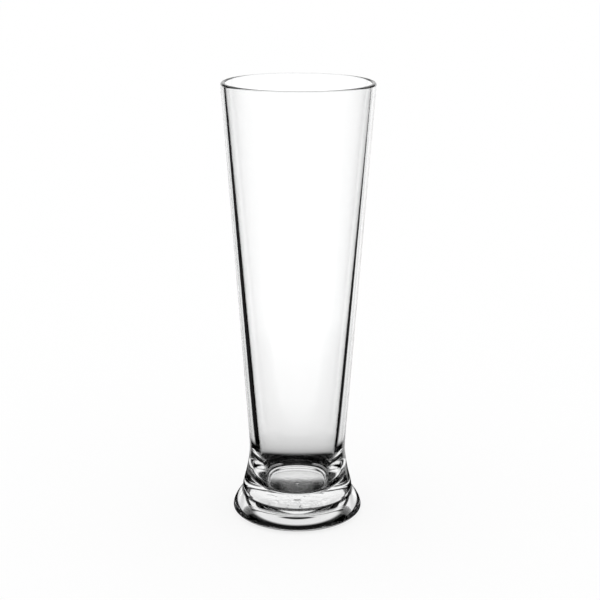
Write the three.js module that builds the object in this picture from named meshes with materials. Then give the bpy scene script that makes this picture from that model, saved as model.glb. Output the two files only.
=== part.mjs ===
// A tall footed beer glass: a straight tapered bowl with a heavy bell-shaped base, fused to a wide round foot.
// Millimetres, +Z up. The origin is on the axis, at the level of the table that the glass stands on.
import * as THREE from "three";

// Overall
const height = 210; // table to the top of the rim
const footHeight = 10.4; // table to the crease where the bowl is fused to the foot

// Bowl, outside, with its levels counted from the crease
const rimRadius = 35.6; // at the top of the straight taper
const coneFootRadius = 24.1; // at the bottom of the straight taper
const coneFootRise = 35.6;
const waistRadius = 23.37; // the narrowest place
const waistRise = 22.7;
const bellTurnRadius = 26; // where the bell's round shoulder turns into the hollow flare
const bellTurnRise = 5.65;
const bellTurnSlope = -0.273; // change of radius with height at the turn
const bellRadius = 26.8; // the widest place of the bell
const bellRise = 1.5; // level of that widest place
const bellEdge = 0.1; // how far the bell's lower edge draws in above the crease

// Bowl, inside
const rimWall = 2.1;
const waistWall = 4.75; // wall at the waist
const floorThickness = 2.7; // from the crease's level to the middle of the cavity's floor
const floorDip = 0.1; // how far that middle lies below the floor's edge
const cornerWidth = 2.9; // the corner between the cavity's wall and its floor
const cornerHeight = 2.9;
const cornerFullness = 2.2; // 2 is an ellipse, and a larger number is nearer to a square corner

// Foot
const footReach = 4.7; // how far the foot stands out from the bell
const footEdgeHeight = 2; // level of the foot's widest place
const shoulderSwell = 4.6; // level of the control point that swells the shoulder
const creaseLedge = 0.12; // the shoulder's upper edge stands out this far from the bell
const ringInset = 6.8; // from the foot's widest place to the inner edge of the ring that it stands on
const ringWidth = 0.9;
const hollowDepth = 5.2; // rise of the underside inside the ring
const hollowSag = 0.3; // how far the hollow's middle hangs below that
const hollowSquareness = 6; // 2 is a plain dome, and a larger number is a flatter hollow with steeper sides
const pipRadius = 1.2; // the small round mark that the mould leaves at the middle of the hollow
const pipDrop = 0.35;

// Facets
const segmentsAround = 64;
const stepsPerCurve = 6;
const stepsUpWall = 3;

const quarterTurn = Math.PI / 2;
const point = (r, z) => new THREE.Vector2(r, z);

// Joins curves and lone points into one outline, without repeating the points where two of them meet.
function outline(...pieces) {
  const points = [];
  for (const piece of pieces) {
    const added = piece.isVector2 ? [piece] : piece;
    for (const next of added) {
      const last = points.at(-1);
      if (!last || last.distanceTo(next) > 1e-6) points.push(next);
    }
  }
  return points;
}

const along = (curve, steps = stepsPerCurve) => curve.getPoints(steps);
const line = (from, to, steps = stepsUpWall) => along(new THREE.LineCurve(from, to), steps);
const quadratic = (from, pull, to) => along(new THREE.QuadraticBezierCurve(from, pull, to));

// An elliptical arc about (r, z), from one angle to another. Angle 0 points outwards and a quarter turn points up.
function arc(r, z, radiusR, radiusZ, from, to) {
  return along(new THREE.EllipseCurve(r, z, radiusR, radiusZ, from, to, to < from));
}

// Turns a closed outline about the +Z axis.
function revolve(name, points, material) {
  const geometry = new THREE.LatheGeometry(points, segmentsAround);
  geometry.rotateX(quarterTurn);
  const mesh = new THREE.Mesh(geometry, material);
  mesh.name = name;
  return mesh;
}

function clearGlass() {
  return new THREE.MeshStandardMaterial({
    color: 0xf4f7f7,
    roughness: 0.03,
    metalness: 0,
    transparent: true,
    opacity: 0.35,
  });
}

// Outside of the straight taper at a given height
const coneFootHeight = footHeight + coneFootRise;
const taper = (rimRadius - coneFootRadius) / (height - coneFootHeight);
const outsideAt = (z) => coneFootRadius + taper * (z - coneFootHeight);

const waistHeight = footHeight + waistRise;

function bowlOutside() {
  const weldEdge = point(bellRadius - bellEdge, footHeight);
  const bell = point(bellRadius, footHeight + bellRise);
  const turn = point(bellTurnRadius, footHeight + bellTurnRise);
  const waist = point(waistRadius, waistHeight);
  const coneFoot = point(coneFootRadius, coneFootHeight);

  const edge = quadratic(weldEdge, point(bellRadius, footHeight + bellEdge), bell);

  // The bell's shoulder and the flare share one tangent at the turn.
  const shoulderPull = point(bellRadius, turn.y + (bellRadius - bellTurnRadius) / bellTurnSlope);
  const shoulder = quadratic(bell, shoulderPull, turn);
  const flareRise = (waistRise - bellTurnRise) / 3;
  const flarePull = point(bellTurnRadius + bellTurnSlope * flareRise, turn.y + flareRise);
  const waistPull = point(waistRadius, waistHeight - flareRise);
  const flare = along(new THREE.CubicBezierCurve(turn, flarePull, waistPull, waist));

  // Above the waist the outline swings into the taper.
  const swingPull = point(waistRadius, coneFootHeight - (coneFootRadius - waistRadius) / taper);
  const swing = quadratic(waist, swingPull, coneFoot);

  const rimStart = height - rimWall / 2;
  const wall = line(coneFoot, point(outsideAt(rimStart), rimStart));
  return outline(edge, shoulder, flare, swing, wall);
}

function bowlInside() {
  const rimRound = rimWall / 2;
  const rimStart = height - rimRound;
  const topRadius = outsideAt(rimStart) - rimWall;
  const lowRadius = waistRadius - waistWall;
  const lean = (topRadius - lowRadius) / (rimStart - waistHeight);
  const insideAt = (z) => lowRadius + lean * (z - waistHeight);

  const floorMiddle = footHeight + floorThickness;
  const floorEdge = floorMiddle + floorDip;
  const corner = [];
  for (let i = 0; i <= stepsPerCurve; i++) {
    const angle = (i / stepsPerCurve) * quarterTurn;
    const inwards = 1 - Math.cos(angle) ** (2 / cornerFullness);
    const up = 1 - Math.sin(angle) ** (2 / cornerFullness);
    const z = floorEdge + cornerHeight * up;
    corner.push(point(insideAt(z) - cornerWidth * inwards, z));
  }

  const rim = arc(topRadius + rimRound, rimStart, rimRound, rimRound, 0, Math.PI);
  const wall = line(point(topRadius, rimStart), corner[0]);
  const floorStart = corner.at(-1);
  const floor = quadratic(floorStart, point(floorStart.x / 2, floorMiddle), point(0, floorMiddle));
  return outline(rim, wall, corner, floor);
}

function bowl() {
  const weldCentre = point(0, footHeight);
  return revolve("bowl", outline(weldCentre, bowlOutside(), bowlInside()), clearGlass());
}

const footRadius = bellRadius + footReach;
const ringInnerRadius = footRadius - ringInset;

// The underside rises from the ring to a nearly flat middle, with the pip at its centre.
function footHollow() {
  const hollowAt = (share) => hollowDepth * (1 - share ** hollowSquareness) - hollowSag * (1 - share ** 2);
  const pipShare = pipRadius / ringInnerRadius;
  const pip = arc(0, hollowAt(pipShare), pipRadius, pipDrop, -quarterTurn, 0);

  const sides = [];
  const steps = 2 * stepsPerCurve;
  const start = Math.asin(pipShare);
  for (let i = 0; i <= steps; i++) {
    const share = Math.sin(start + (i / steps) * (quarterTurn - start));
    sides.push(point(ringInnerRadius * share, hollowAt(share)));
  }
  return outline(pip, sides);
}

function foot() {
  const ringOuterRadius = ringInnerRadius + ringWidth;
  const edge = arc(ringOuterRadius, footEdgeHeight, footRadius - ringOuterRadius, footEdgeHeight, -quarterTurn, 0);
  const shoulder = quadratic(
    point(footRadius, footEdgeHeight),
    point(footRadius, shoulderSwell),
    point(bellRadius + creaseLedge, footHeight),
  );
  const weldCentre = point(0, footHeight);
  return revolve("foot", outline(footHollow(), edge, shoulder, weldCentre), clearGlass());
}

const glass = new THREE.Group();
glass.name = "beer_glass";
glass.add(bowl(), foot());

export default glass;
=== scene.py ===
"""A tall footed beer glass of clear material: a bowl and a foot, each turned, and fused at the crease."""

import math

import bpy
from mathutils import Euler, Matrix, Vector


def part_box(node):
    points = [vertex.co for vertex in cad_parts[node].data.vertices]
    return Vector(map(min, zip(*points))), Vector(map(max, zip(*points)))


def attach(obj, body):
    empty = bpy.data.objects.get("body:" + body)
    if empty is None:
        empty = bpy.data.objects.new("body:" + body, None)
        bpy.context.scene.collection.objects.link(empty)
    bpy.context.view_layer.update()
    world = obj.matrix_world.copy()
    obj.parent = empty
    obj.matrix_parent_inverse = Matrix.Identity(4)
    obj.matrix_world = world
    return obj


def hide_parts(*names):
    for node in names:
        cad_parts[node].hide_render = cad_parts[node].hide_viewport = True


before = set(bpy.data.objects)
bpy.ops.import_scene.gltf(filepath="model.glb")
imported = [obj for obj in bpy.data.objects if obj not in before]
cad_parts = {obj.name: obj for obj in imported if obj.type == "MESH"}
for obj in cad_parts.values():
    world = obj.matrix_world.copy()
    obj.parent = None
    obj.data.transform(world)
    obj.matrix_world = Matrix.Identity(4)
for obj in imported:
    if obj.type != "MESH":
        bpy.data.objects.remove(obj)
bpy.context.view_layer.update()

MM = 0.001

# Sizes that the frame gives
BOWL_LOW, BOWL_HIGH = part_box("bowl")
HEIGHT = BOWL_HIGH.z
SEAM = BOWL_LOW.z
TOP_RADIUS = BOWL_HIGH.x
FOOT_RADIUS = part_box("foot")[1].x

# Bowl, outside, as radius and level above the crease
SEAM_LEVEL = Vector((0, SEAM))
CONE_FOOT = SEAM_LEVEL + Vector((24.1, 35.6)) * MM
WAIST = SEAM_LEVEL + Vector((23.37, 22.7)) * MM
BELL_TURN = SEAM_LEVEL + Vector((26.0, 5.65)) * MM
BELL_TURN_SLOPE = -0.273
BELL = SEAM_LEVEL + Vector((26.8, 1.5)) * MM
BELL_EDGE = 0.1 * MM
WELD_RADIUS = BELL.x - BELL_EDGE

# Bowl, inside
RIM_WALL = 2.1 * MM
WAIST_WALL = 4.75 * MM
CAVITY_FLOOR = 2.7 * MM
CAVITY_DIP = 0.1 * MM
CORNER_WIDTH = 2.9 * MM
CORNER_HEIGHT = 2.9 * MM
CORNER_FULLNESS = 2.2

# Foot
CREASE_LEDGE = 0.12 * MM
SHOULDER_SWELL = 4.6 * MM
FOOT_EDGE_HEIGHT = 2.0 * MM
RING_INNER_RADIUS = 24.7 * MM
RING_WIDTH = 0.9 * MM
HOLLOW_DEPTH = 5.2 * MM
HOLLOW_SAG = 0.3 * MM
HOLLOW_SQUARENESS = 6.0
PIP_RADIUS = 1.2 * MM
PIP_DROP = 0.35 * MM

# Facets
STEPS_AROUND = 192
CURVE_STEPS = 14
WALL_STEPS = 24
STRAIGHT_END = 0.1 * MM
SAME_PLACE = 1e-6
SMOOTH_ANGLE = math.radians(30)
QUARTER_TURN = math.pi / 2

# Finish of the glass: slow waves all over
REFRACTION = 1.475
WAVE_SCALE = 70.0
WAVE_DETAIL = 1.0
WAVE_HEIGHT = 0.012 * MM
THIN_TINT = (1.0, 1.0, 1.0, 1)
THICK_TINT = (0.99, 0.992, 0.992, 1)

# Orange peel on the middle of the underside
PEEL_SCALE = 330.0
PEEL_DETAIL = 2.0
PEEL_HEIGHT = 0.28 * MM
PEEL_EDGE = (7 * MM, 14 * MM)

# Scuffs on the ring that the glass stands on
SCUFF_SCALE = 1400.0
SCUFF_DETAIL = 3.0
SCUFF_SPOTS = (0.42, 0.62)
SCUFF_ROUGHNESS = 0.25
SCUFF_LEVEL = (0.005 * MM, 0.05 * MM)

# Painted shade: a dark line at the crease and a darker band along the rim
CREASE_SHADE_HALF = (0.45 * MM, 0.75 * MM)
CREASE_SHADE_RADIUS = (BELL.x - 0.6 * MM, BELL.x - 0.3 * MM)
CREASE_PAINTED_SHADE = (0.02, 0.02, 0.02, 1)
RIM_SHADE_LEVEL = (HEIGHT - RIM_WALL / 2, HEIGHT - RIM_WALL / 4)
RIM_PAINTED_SHADE = (0.82, 0.83, 0.83, 1)

# Whole counts of bounces and of crossings, by which the stage tells light in the glass apart
HALF_COUNT = 0.5
FEW_BOUNCES = 1
OFTEN_BOUNCES = 3
LATE_BOUNCES = 4
MANY_BOUNCES = 6
MANY_STRENGTH = 0.1
THROUGH_BOWL = 3

# Floor as the camera sees it
FLOOR_SIZE = 20.0
FLOOR_DROP = 0.2 * MM
FLOOR_PALE = (0.9, 0.9, 0.9, 1)
FLOOR_WHITE = 1.033
FLOOR_SHADOW = 0.25

# Floor as the glass shows it, a painted shadow around the foot that lightens outwards: strength at
# distances from the axis in millimetres, up to its full reach
FLOOR_SHADE = (
    (49, 0.0), (51, 0.3), (52.5, 0.5), (57, 0.65), (63, 0.75), (75, 0.83), (91, 0.93),
    (113, 0.99), (147, 1.05), (181, 1.075), (220, 1.1), (260, 1.14),
)
FLOOR_REACH = 300 * MM
FLOOR_STRENGTH = 1.2

# Painted pools of light on the floor under the glass, each with its soft edges
UNDER_FADE = (28 * MM, 31 * MM)
BACK_STRENGTH = 0.85
BACK_EDGE = (7 * MM, 16 * MM)
FRONT_STRENGTH = 0.85
FRONT_SPOT = (5.5 * MM, 10 * MM)
FRONT_FADE = (18 * MM, 21 * MM)
INNER_STRENGTH = 0.85
INNER_EDGE = (1 * MM, -4 * MM)
INNER_FADE = (18.5 * MM, 21.5 * MM)
FLANK_ACROSS = (9 * MM, 12 * MM)
FLANK_EDGE = (9 * MM, 14 * MM)
TAIL_EDGE = (15 * MM, 19 * MM)

# Painted light lane of the floor before and behind the glass, wider with the distance
LANE_EDGE = (20 * MM, 36 * MM)
LANE_SPREAD = 0.58
LANE_FRONT_SPREAD = 2.0
LANE_SPREAD_CHANGE = (-80 * MM, -30 * MM)
LANE_RIGHT = 0.78
LANE_START = (70 * MM, 85 * MM)
LANE_NEAR_EDGE = (10 * MM, 14 * MM)
LANE_FRONT = (-120 * MM, -80 * MM)
LANE_FRONT_STRENGTH = 0.4
LANE_BACK = (-35 * MM, -25 * MM)
LANE_OFTEN_STRENGTH = 0.1

# White cards around the glass, in degrees aside from straight behind it and above the floor's level
CARD_EDGE = (-2.5, 2.5)
CARD_HALF = 24
CARD_LOW_HALF = 40
CARD_NARROWS = (3, 9)
CARD_HIGH_HALF = 50
CARD_WIDENS = (19, 33)
CARD_DROP = 5
CARD_TOP = (58, 68)
CARD_DIM = 0.75
CARD_DIM_START = (13, 18)
CARD_DIM_END = (20, 27)
ROOF_STRENGTH = 0.4
ROOF_EDGE = (44, 52)
ROOF_ASIDE = (44, 54)
ROOF_ASIDE_SHARE = 0.4
SIDE_STRENGTH = 0.7
SIDE_NEAR = (80, 90)
SIDE_FAR = (116, 128)
SIDE_BOTTOM = (11, 17)
SIDE_TOP = (28, 34)
DEEP_HALF = 54
DEEP_HIGH_HALF = 72
DEEP_WIDENS = (28, 42)
DEEP_BOTTOM = (10, 16)
DEEP_TOP = (50, 58)
SHADE_ASIDE = (8, 14)
SHADE_RISE = (6, 12)
WHITE = (1, 1, 1, 1)

# Camera, before the glass and a little above it
CAMERA_PLACE = Vector((1.05, -611, 284.2)) * MM
CAMERA_PITCH = math.radians(16.2)
CAMERA_ROLL = math.radians(0.2)
CAMERA_SENSOR = 36
CAMERA_LENS = 80.25
CAMERA_NEAR = 10 * MM
BOUNCE_LIMIT = 32


# Outlines, as points of radius and height

def curve(*controls, steps=CURVE_STEPS):
    """A smooth curve from the first control point to the last, drawn towards those between."""
    points = []
    for i in range(steps + 1):
        layer = list(controls)
        while len(layer) > 1:
            layer = [a.lerp(b, i / steps) for a, b in zip(layer, layer[1:])]
        points.append(layer[0])
    return points


def arc(centre, radii, start, end, steps=CURVE_STEPS):
    """Part of an ellipse. Angle 0 points away from the axis and a quarter turn points up."""
    points = []
    for i in range(steps + 1):
        angle = start + (end - start) * i / steps
        points.append(centre + Vector((radii[0] * math.cos(angle), radii[1] * math.sin(angle))))
    return points


def straight(start, end):
    """A straight stretch, with a point just inside each end so that the shading stays straight there."""
    inset = STRAIGHT_END * (end - start).normalized()
    return [start, *curve(start + inset, end - inset, steps=WALL_STEPS), end]


def joined(*stretches):
    """One outline from several, without repeating the points where they meet."""
    points = []
    for stretch in stretches:
        for point in stretch:
            if not points or (point - points[-1]).length > SAME_PLACE:
                points.append(point)
    return points


def bowl_outline():
    """From the weld's middle along the outside, over the rim and down to the middle of the cavity."""
    rim_round = RIM_WALL / 2
    rim_start = HEIGHT - rim_round
    taper = (TOP_RADIUS - CONE_FOOT.x) / (rim_start - CONE_FOOT.y)

    weld = [Vector((0, SEAM)), Vector((WELD_RADIUS, SEAM))]
    edge = curve(weld[1], Vector((BELL.x, SEAM + BELL_EDGE)), BELL)
    shoulder_pull = Vector((BELL.x, BELL_TURN.y + (BELL.x - BELL_TURN.x) / BELL_TURN_SLOPE))
    shoulder = curve(BELL, shoulder_pull, BELL_TURN)
    rise = (WAIST.y - BELL_TURN.y) / 3
    flare = curve(
        BELL_TURN,
        BELL_TURN + rise * Vector((BELL_TURN_SLOPE, 1)),
        WAIST - Vector((0, rise)),
        WAIST,
        steps=2 * CURVE_STEPS,
    )
    swing = curve(WAIST, Vector((WAIST.x, CONE_FOOT.y - (CONE_FOOT.x - WAIST.x) / taper)), CONE_FOOT)
    wall_top = Vector((TOP_RADIUS, rim_start))
    outer_wall = straight(CONE_FOOT, wall_top)

    rim = arc(wall_top - Vector((rim_round, 0)), (rim_round, rim_round), 0, math.pi)
    inner_top = rim[-1]
    low_radius = WAIST.x - WAIST_WALL
    lean = (inner_top.x - low_radius) / (rim_start - WAIST.y)
    floor_middle = Vector((0, SEAM + CAVITY_FLOOR))
    corner = []
    corner_steps = 2 * CURVE_STEPS
    for i in range(corner_steps + 1):
        angle = i / corner_steps * QUARTER_TURN
        inwards = 1 - abs(math.cos(angle)) ** (2 / CORNER_FULLNESS)
        up = 1 - math.sin(angle) ** (2 / CORNER_FULLNESS)
        height = floor_middle.y + CAVITY_DIP + CORNER_HEIGHT * up
        wall = low_radius + lean * (height - WAIST.y)
        corner.append(Vector((wall - CORNER_WIDTH * inwards, height)))
    inner_wall = straight(inner_top, corner[0])
    floor = curve(corner[-1], Vector((corner[-1].x / 2, floor_middle.y)), floor_middle)
    return joined(weld, edge, shoulder, flare, swing, outer_wall, rim, inner_wall, corner, floor)


def hollow_rise(radius):
    """Height of the foot's underside at a distance from the axis."""
    share = radius / RING_INNER_RADIUS
    return HOLLOW_DEPTH * (1 - share ** HOLLOW_SQUARENESS) - HOLLOW_SAG * (1 - share ** 2)


def hollow_outline():
    """The underside from the pip to the ring, with its points closer together towards the ring."""
    start = math.asin(PIP_RADIUS / RING_INNER_RADIUS)
    turn = QUARTER_TURN - start
    steps = 4 * CURVE_STEPS
    points = []
    for i in range(steps + 1):
        radius = RING_INNER_RADIUS * math.sin(start + turn * i / steps)
        points.append(Vector((radius, hollow_rise(radius))))
    return points


def foot_outline():
    """From the pip under the foot to the ring, around the edge, up the shoulder and in along the weld."""
    pip = arc(Vector((0, hollow_rise(PIP_RADIUS))), (PIP_RADIUS, PIP_DROP), -QUARTER_TURN, 0)
    ring_outer_radius = RING_INNER_RADIUS + RING_WIDTH
    edge_centre = Vector((ring_outer_radius, FOOT_EDGE_HEIGHT))
    edge = arc(edge_centre, (FOOT_RADIUS - ring_outer_radius, FOOT_EDGE_HEIGHT), -QUARTER_TURN, 0)
    shoulder = curve(
        edge[-1],
        Vector((FOOT_RADIUS, SHOULDER_SWELL)),
        Vector((BELL.x + CREASE_LEDGE, SEAM)),
        steps=2 * CURVE_STEPS,
    )
    weld = [Vector((WELD_RADIUS, SEAM)), Vector((0, SEAM))]
    return joined(pip, hollow_outline(), edge, shoulder, weld)


# Turning an outline into a piece

def deselect_all():
    bpy.ops.object.select_all(action="DESELECT")


def turned(name, outline):
    """Draws the outline as a chain of extruded points, spins it about the axis and closes it."""
    deselect_all()
    bpy.ops.mesh.primitive_plane_add(size=MM)
    piece = bpy.context.object
    piece.name = name
    piece.data.name = name
    bpy.ops.object.mode_set(mode="EDIT")
    bpy.ops.mesh.select_all(action="SELECT")
    bpy.ops.mesh.merge(type="CENTER")
    bpy.ops.transform.translate(value=(outline[0].x, 0, outline[0].y))
    for here, there in zip(outline, outline[1:]):
        step = (there.x - here.x, 0, there.y - here.y)
        bpy.ops.mesh.extrude_vertices_move(TRANSFORM_OT_translate={"value": step})
    bpy.ops.mesh.select_all(action="SELECT")
    bpy.ops.mesh.spin(steps=STEPS_AROUND, angle=math.tau, center=(0, 0, 0), axis=(0, 0, 1))
    bpy.ops.mesh.select_all(action="SELECT")
    bpy.ops.mesh.remove_doubles(threshold=SAME_PLACE)
    bpy.ops.mesh.normals_make_consistent(inside=False)
    bpy.ops.object.mode_set(mode="OBJECT")
    bpy.ops.object.shade_smooth_by_angle(angle=SMOOTH_ANGLE)
    return piece


def dress(piece, glass, weld):
    """Clear glass all over, and no surface at all where the two pieces are fused."""
    piece.data.materials.append(glass)
    piece.data.materials.append(weld)
    for face in piece.data.polygons:
        level = abs(face.center.z - SEAM) < SAME_PLACE
        inside = Vector(face.center[:2]).length < WELD_RADIUS
        face.material_index = 1 if level and inside else 0


# Materials

class Shading:
    """A node tree, with short ways to add the nodes that work out a value."""

    def __init__(self, tree):
        self.nodes = tree.nodes
        self.links = tree.links

    def feed(self, socket, value):
        """Links an input to another node's output, or sets it to a number or a colour."""
        if isinstance(value, bpy.types.NodeSocket):
            self.links.new(value, socket)
        else:
            socket.default_value = value

    def add(self, kind, inputs):
        """A new node, with the inputs that are named or numbered here."""
        node = self.nodes.new(kind)
        for name, value in inputs.items():
            self.feed(node.inputs[name], value)
        return node

    def maths(self, operation, *values):
        node = self.nodes.new("ShaderNodeMath")
        node.operation = operation
        for socket, value in zip(node.inputs, values):
            self.feed(socket, value)
        return node.outputs[0]

    def product(self, first, *rest):
        for factor in rest:
            first = self.maths("MULTIPLY", first, factor)
        return first

    def most(self, first, *rest):
        for other in rest:
            first = self.maths("MAXIMUM", first, other)
        return first

    def at_least(self, number, count):
        return self.maths("GREATER_THAN", number, count - HALF_COUNT)

    def at_most(self, number, count):
        return self.maths("LESS_THAN", number, count + HALF_COUNT)

    def ramp(self, value, edge, before=0.0, after=1.0):
        """A smooth change from one number to another, while the value crosses the edge."""
        node = self.nodes.new("ShaderNodeMapRange")
        node.interpolation_type = "SMOOTHSTEP"
        numbers = {"From Min": edge[0], "From Max": edge[1], "To Min": before, "To Max": after}
        for name, number in numbers.items():
            node.inputs[name].default_value = number
        self.links.new(value, node.inputs["Value"])
        return node.outputs[0]

    def fall(self, value, edge):
        return self.ramp(value, edge, 1.0, 0.0)

    def either(self, choice, first, second):
        """The first number where the choice is 0, and the second where it is 1."""
        return self.add("ShaderNodeMix", {"Factor": choice, "A": first, "B": second}).outputs["Result"]

    def blend(self, share, *colours):
        """The first colour where the share is 0, and the second where it is 1."""
        node = self.nodes.new("ShaderNodeMix")
        node.data_type = "RGBA"
        self.feed(node.inputs["Factor"], share)
        colour_inputs = [socket for socket in node.inputs if socket.type == "RGBA"]
        for socket, colour in zip(colour_inputs, colours):
            self.feed(socket, colour)
        return next(socket for socket in node.outputs if socket.type == "RGBA")

    def noise(self, place, scale, detail):
        inputs = {"Vector": place, "Scale": scale, "Detail": detail}
        return self.add("ShaderNodeTexNoise", inputs).outputs["Fac"]

    def coordinates(self, kind):
        return self.nodes.new("ShaderNodeTexCoord").outputs[kind]

    def apart(self, place):
        return self.add("ShaderNodeSeparateXYZ", {"Vector": place}).outputs

    def radius(self, x, y):
        squares = [self.maths("POWER", distance, 2.0) for distance in (x, y)]
        return self.maths("SQRT", self.maths("ADD", *squares))

    def light_path(self):
        return self.nodes.new("ShaderNodeLightPath").outputs

    def from_glass(self, path):
        """1 for light that comes through the glass or off it."""
        return self.most(path["Is Transmission Ray"], path["Is Glossy Ray"])


def new_material(name):
    material = bpy.data.materials.new(name)
    material.use_nodes = True
    return material, Shading(material.node_tree)


def moulded_surface_and_painted_shade():
    """Slow waves and a trace of tint all over, painted shade at rim and crease, orange peel and scuffs on
    undersides.
    """
    group = bpy.data.node_groups.new("moulded_surface_and_painted_shade", "ShaderNodeTree")
    group.interface.new_socket("Place", in_out="INPUT", socket_type="NodeSocketVector")
    group.interface.new_socket("Underside", in_out="INPUT", socket_type="NodeSocketFloat")
    group.interface.new_socket("Color", in_out="OUTPUT", socket_type="NodeSocketColor")
    group.interface.new_socket("Roughness", in_out="OUTPUT", socket_type="NodeSocketFloat")
    group.interface.new_socket("Height", in_out="OUTPUT", socket_type="NodeSocketFloat")
    shading = Shading(group)
    given = group.nodes.new("NodeGroupInput").outputs
    result = group.nodes.new("NodeGroupOutput").inputs

    place = given["Place"]
    underside = given["Underside"]
    apart = shading.apart(place)
    level = apart["Z"]
    radius = shading.radius(apart["X"], apart["Y"])

    waves = shading.noise(place, WAVE_SCALE, WAVE_DETAIL)
    peel = shading.noise(place, PEEL_SCALE, PEEL_DETAIL)
    wave_height = shading.product(waves, WAVE_HEIGHT)
    peel_height = shading.product(peel, PEEL_HEIGHT, underside, shading.fall(radius, PEEL_EDGE))
    shading.feed(result["Height"], shading.maths("ADD", wave_height, peel_height))

    spots = shading.noise(place, SCUFF_SCALE, SCUFF_DETAIL)
    scuffs = shading.ramp(spots, SCUFF_SPOTS, 0.0, SCUFF_ROUGHNESS)
    contact = shading.fall(level, SCUFF_LEVEL)
    shading.feed(result["Roughness"], shading.product(scuffs, contact, underside))

    # Painted shade: the glass's colour is darkened in a narrow band at the crease and in a band along the
    # rim
    from_crease = shading.maths("ABSOLUTE", shading.maths("SUBTRACT", level, SEAM))
    crease = shading.product(shading.fall(from_crease, CREASE_SHADE_HALF), shading.ramp(radius, CREASE_SHADE_RADIUS))
    clear = shading.blend(waves, THIN_TINT, THICK_TINT)
    rim_shaded = shading.blend(shading.ramp(level, RIM_SHADE_LEVEL), clear, RIM_PAINTED_SHADE)
    shading.feed(result["Color"], shading.blend(crease, rim_shaded, CREASE_PAINTED_SHADE))
    return group


def clear_glass(name, surface, underside):
    """Glass with the moulded surface and painted shade at rim and crease. The heights of its bump are in
    metres, as they are written.
    """
    material, shading = new_material(name)
    moulded = shading.nodes.new("ShaderNodeGroup")
    moulded.node_tree = surface
    shading.feed(moulded.inputs["Place"], shading.coordinates("Object"))
    shading.feed(moulded.inputs["Underside"], underside)
    bump_inputs = {"Strength": 1.0, "Distance": 1.0, "Height": moulded.outputs["Height"]}
    bump = shading.add("ShaderNodeBump", bump_inputs)

    glass = shading.nodes["Principled BSDF"].inputs
    shading.feed(glass["IOR"], REFRACTION)
    shading.feed(glass["Transmission Weight"], 1.0)
    shading.feed(glass["Base Color"], moulded.outputs["Color"])
    shading.feed(glass["Roughness"], moulded.outputs["Roughness"])
    shading.feed(glass["Normal"], bump.outputs["Normal"])
    return material


def fused_joint(name):
    """No surface, so that light passes from one piece into the other."""
    material, shading = new_material(name)
    shading.feed(shading.nodes["Principled BSDF"].inputs["Alpha"], 0.0)
    return material


# Stage

def floor_shade(shading, radius):
    """Strength of the floor around the glass. The curve itself starts at 0, 0 and ends at 1, 1."""
    reach = shading.maths("MINIMUM", shading.maths("DIVIDE", radius, FLOOR_REACH), 1.0)
    shade = shading.add("ShaderNodeFloatCurve", {"Value": reach})
    points = shade.mapping.curves[0].points
    for distance, strength in FLOOR_SHADE:
        points.new(distance * MM / FLOOR_REACH, strength / FLOOR_STRENGTH)
    for point in points:
        point.handle_type = "VECTOR"
    shade.mapping.update()
    return shading.product(shade.outputs["Value"], FLOOR_STRENGTH)


def floor_lane(shading, apart, radius):
    """1 on the lane that runs towards the camera and away from it, and 0 beside it."""
    across = shading.maths("ABSOLUTE", apart["X"])
    away = shading.maths("ABSOLUTE", apart["Y"])
    sideways = shading.most(shading.product(apart["X"], LANE_RIGHT), shading.product(apart["X"], -1.0))
    spread = shading.ramp(apart["Y"], LANE_SPREAD_CHANGE, LANE_FRONT_SPREAD, LANE_SPREAD)
    outwards = shading.maths("SUBTRACT", sideways, shading.product(away, spread))
    far = shading.product(shading.fall(outwards, LANE_EDGE), shading.ramp(radius, LANE_START))
    near = shading.fall(across, LANE_NEAR_EDGE)
    front = shading.ramp(apart["Y"], LANE_FRONT, LANE_FRONT_STRENGTH, 0.0)
    back = shading.ramp(apart["Y"], LANE_BACK)
    return shading.product(shading.most(far, near), shading.most(front, back))


def floor_through_glass(shading, path):
    """Painted light and shade of the floor for light that passed straight through the glass or was
    mirrored in it.
    """
    apart = shading.apart(shading.coordinates("Object"))
    across = shading.maths("ABSOLUTE", apart["X"])
    radius = shading.radius(apart["X"], apart["Y"])
    bounces = path["Glossy Depth"]
    around = floor_shade(shading, radius)
    under = shading.fall(radius, UNDER_FADE)

    behind = shading.product(shading.ramp(apart["Y"], BACK_EDGE, 0.0, BACK_STRENGTH), under)
    front_spot = shading.ramp(radius, FRONT_SPOT, 0.0, FRONT_STRENGTH)
    before = shading.product(front_spot, shading.fall(radius, FRONT_FADE))
    through_bowl = shading.at_least(path["Transmission Depth"], THROUGH_BOWL)
    straight_on = shading.most(around, shading.either(through_bowl, before, behind))

    inner_half = shading.ramp(apart["Y"], INNER_EDGE, 0.0, INNER_STRENGTH)
    inner = shading.product(inner_half, shading.fall(radius, INNER_FADE))
    beside_axis = shading.ramp(across, FLANK_ACROSS)
    flanks = shading.product(beside_axis, shading.ramp(apart["Y"], FLANK_EDGE), under)
    late = shading.at_least(bounces, LATE_BOUNCES)
    tail = shading.product(shading.ramp(apart["Y"], TAIL_EDGE), under, late)

    often = shading.at_least(bounces, OFTEN_BOUNCES)
    lane_strength = shading.either(often, 1.0, LANE_OFTEN_STRENGTH)
    lane = shading.product(around, floor_lane(shading, apart, radius), lane_strength)
    mirrored = shading.maths("ADD", lane, shading.most(inner, flanks, tail))
    many = shading.at_least(bounces, MANY_BOUNCES)
    mirrored = shading.product(mirrored, shading.either(many, 1.0, MANY_STRENGTH))
    return shading.either(shading.at_least(bounces, 1), straight_on, mirrored)


def mixed_shader(shading, share, first, second):
    return shading.add("ShaderNodeMixShader", {0: share, 1: first, 2: second}).outputs[0]


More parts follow.
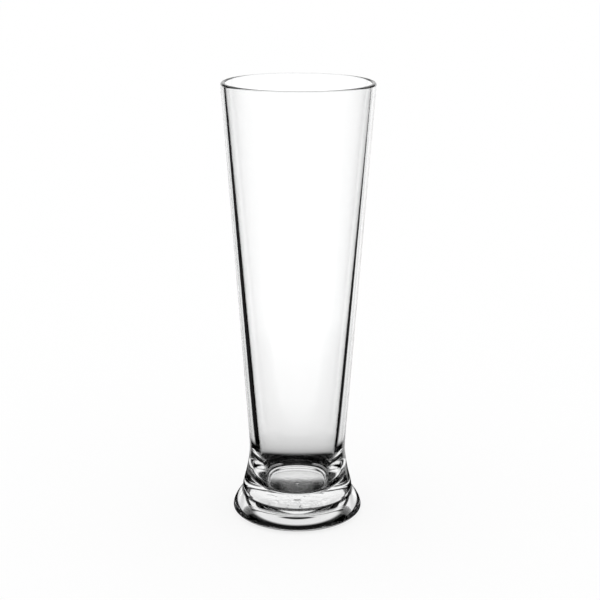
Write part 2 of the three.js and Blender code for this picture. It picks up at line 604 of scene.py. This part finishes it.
def white_floor(name):
    """White with a soft shadow for the camera, pale for other light, and painted light and shade in places
    for the glass.
    """
    material, shading = new_material(name)
    shading.nodes.remove(shading.nodes["Principled BSDF"])
    path = shading.light_path()
    strength = floor_through_glass(shading, path)
    through = shading.add("ShaderNodeEmission", {"Strength": strength}).outputs[0]
    white = shading.add("ShaderNodeEmission", {"Strength": FLOOR_WHITE}).outputs[0]
    pale = shading.add("ShaderNodeBsdfDiffuse", {"Color": FLOOR_PALE}).outputs[0]
    lit = mixed_shader(shading, FLOOR_SHADOW, white, pale)
    direct = mixed_shader(shading, path["Is Camera Ray"], pale, lit)
    whole = mixed_shader(shading, shading.from_glass(path), direct, through)
    shading.feed(shading.nodes["Material Output"].inputs["Surface"], whole)
    return material


def stage_floor():
    deselect_all()
    bpy.ops.mesh.primitive_plane_add(size=FLOOR_SIZE, location=(0, 0, -FLOOR_DROP))
    floor = bpy.context.object
    floor.name = "floor"
    floor.data.materials.append(white_floor("floor_white"))


def card(shading, aside, half_width):
    """1 on a card that stands straight behind the glass, and 0 beside it."""
    return shading.fall(shading.maths("SUBTRACT", aside, half_width), CARD_EDGE)


def back_card(shading, aside, height, bounces):
    """The large card behind the glass, wide above and below, and lower for light that bounced little."""
    low_half = shading.ramp(height, CARD_NARROWS, CARD_LOW_HALF, CARD_HALF)
    few = shading.at_most(bounces, FEW_BOUNCES)
    lifted = shading.maths("ADD", height, shading.product(few, CARD_DROP))
    high_half = shading.ramp(lifted, CARD_WIDENS, CARD_HALF, CARD_HIGH_HALF)
    shape = card(shading, aside, shading.most(low_half, high_half))
    above_dim = shading.ramp(height, CARD_DIM_END, CARD_DIM, 1.0)
    below_dim = shading.ramp(height, CARD_DIM_START, 1.0, CARD_DIM)
    return shading.product(shape, shading.fall(height, CARD_TOP), shading.most(above_dim, below_dim))


def roof(shading, aside, height):
    """A dim light overhead, weaker to the sides."""
    return shading.product(
        shading.ramp(height, ROOF_EDGE, 0.0, ROOF_STRENGTH),
        shading.ramp(aside, ROOF_ASIDE, 1.0, ROOF_ASIDE_SHARE),
    )


def side_cards(shading, aside, height):
    """A low card on each side of the glass."""
    return shading.product(
        shading.ramp(aside, SIDE_NEAR, 0.0, SIDE_STRENGTH),
        shading.fall(aside, SIDE_FAR),
        shading.ramp(height, SIDE_BOTTOM),
        shading.fall(height, SIDE_TOP),
    )


def deep_card(shading, aside, height, bounces):
    """A wide card that only light which bounced often can show."""
    half_width = shading.ramp(height, DEEP_WIDENS, DEEP_HALF, DEEP_HIGH_HALF)
    return shading.product(
        card(shading, aside, half_width),
        shading.ramp(height, DEEP_BOTTOM),
        shading.fall(height, DEEP_TOP),
        shading.at_least(bounces, OFTEN_BOUNCES),
    )


def beside_shade(shading, aside, height, path):
    """1 where the room is dark aside, for light that crossed the bowl and bounced once or not at all."""
    bounces = path["Glossy Depth"]
    once = shading.maths("COMPARE", bounces, 1.0, HALF_COUNT)
    raised = shading.product(shading.at_most(bounces, 0), shading.ramp(height, SHADE_RISE))
    through_bowl = shading.at_least(path["Transmission Depth"], THROUGH_BOWL)
    return shading.product(
        shading.maths("ADD", once, raised),
        through_bowl,
        shading.ramp(aside, SHADE_ASIDE),
    )


def stage_world():
    """White for the camera and for other light. The glass shows white cards in a dark room instead."""
    world = bpy.data.worlds.new("studio")
    bpy.context.scene.world = world
    world.use_nodes = True
    shading = Shading(world.node_tree)
    apart = shading.apart(shading.coordinates("Generated"))
    bearing = shading.maths("DEGREES", shading.maths("ARCTAN2", apart["X"], apart["Y"]))
    aside = shading.maths("ABSOLUTE", bearing)
    height = shading.maths("DEGREES", shading.maths("ARCSINE", apart["Z"]))
    path = shading.light_path()
    bounces = path["Glossy Depth"]

    cards = shading.most(
        back_card(shading, aside, height, bounces),
        roof(shading, aside, height),
        side_cards(shading, aside, height),
    )
    lighted = shading.maths("SUBTRACT", 1.0, beside_shade(shading, aside, height, path))
    cards = shading.most(shading.product(cards, lighted), deep_card(shading, aside, height, bounces))
    many = shading.at_least(bounces, MANY_BOUNCES)
    room = shading.product(cards, shading.either(many, 1.0, MANY_STRENGTH))
    background = shading.nodes["Background"].inputs
    shading.feed(background["Color"], WHITE)
    shading.feed(background["Strength"], shading.either(shading.from_glass(path), 1.0, room))


def stage_camera():
    data = bpy.data.cameras.new("camera")
    data.sensor_width = CAMERA_SENSOR
    data.lens = CAMERA_LENS
    data.clip_start = CAMERA_NEAR
    camera = bpy.data.objects.new("camera", data)
    bpy.context.scene.collection.objects.link(camera)
    look_down = Euler((QUARTER_TURN - CAMERA_PITCH, 0, 0)).to_matrix()
    roll = Matrix.Rotation(CAMERA_ROLL, 3, "Z")
    camera.matrix_world = Matrix.Translation(CAMERA_PLACE) @ (look_down @ roll).to_4x4()
    bpy.context.scene.camera = camera


def render_settings():
    scene = bpy.context.scene
    scene.view_settings.view_transform = "Standard"
    scene.cycles.max_bounces = BOUNCE_LIMIT
    scene.cycles.transmission_bounces = BOUNCE_LIMIT
    scene.cycles.glossy_bounces = BOUNCE_LIMIT
    scene.cycles.transparent_max_bounces = BOUNCE_LIMIT


stage_camera()
render_settings()
stage_world()
stage_floor()

weld = fused_joint("fused_joint")
surface = moulded_surface_and_painted_shade()
bowl = turned("glass_bowl", bowl_outline())
dress(bowl, clear_glass("bowl_glass", surface, 0.0), weld)
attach(bowl, "root")
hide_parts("bowl")

foot = turned("glass_foot", foot_outline())
dress(foot, clear_glass("foot_glass", surface, 1.0), weld)
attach(foot, "root")
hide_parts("foot")
